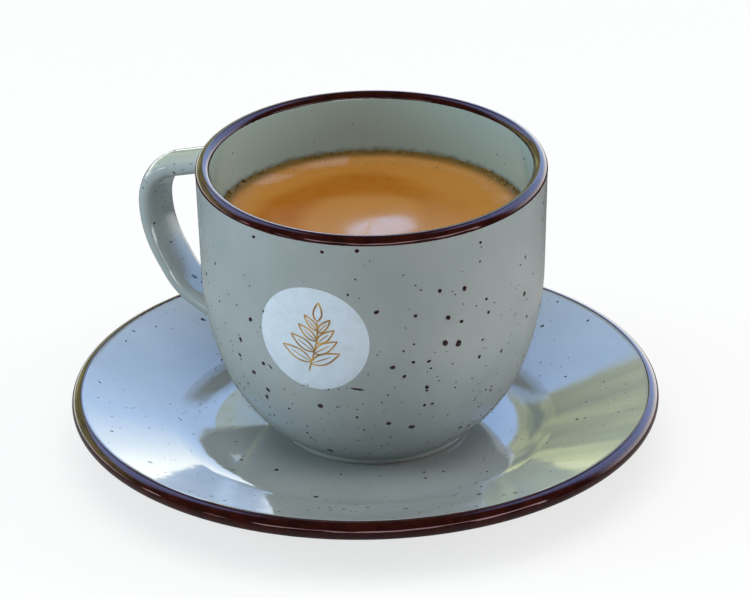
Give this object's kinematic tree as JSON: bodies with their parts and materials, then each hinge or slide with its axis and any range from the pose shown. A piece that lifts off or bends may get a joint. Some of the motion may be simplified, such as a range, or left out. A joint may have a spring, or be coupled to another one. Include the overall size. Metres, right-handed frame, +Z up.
{
  "type": "cup of black coffee",
  "caption": "Round stoneware cup of black coffee with a layer of crema, standing on its matching saucer, with a side handle.",
  "frame": {"origin": "centre of the saucer's foot, on the surface that it stands on", "axes": "+Z up; -X towards the cup's handle"},
  "size_m": [0.1492, 0.1492, 0.0802],
  "materials": {
    "saucer_glaze": "glossy speckled glaze with a dark rim",
    "cup_glaze": "glossy speckled glaze with a dark rim",
    "coffee": "dark liquid",
    "crema": "fine wet foam"
  },
  "bodies": {
    "root": {"saucer": "saucer_glaze", "cup": "cup_glaze", "coffee": "coffee", "crema": "crema"}
  },
  "joints": []
}
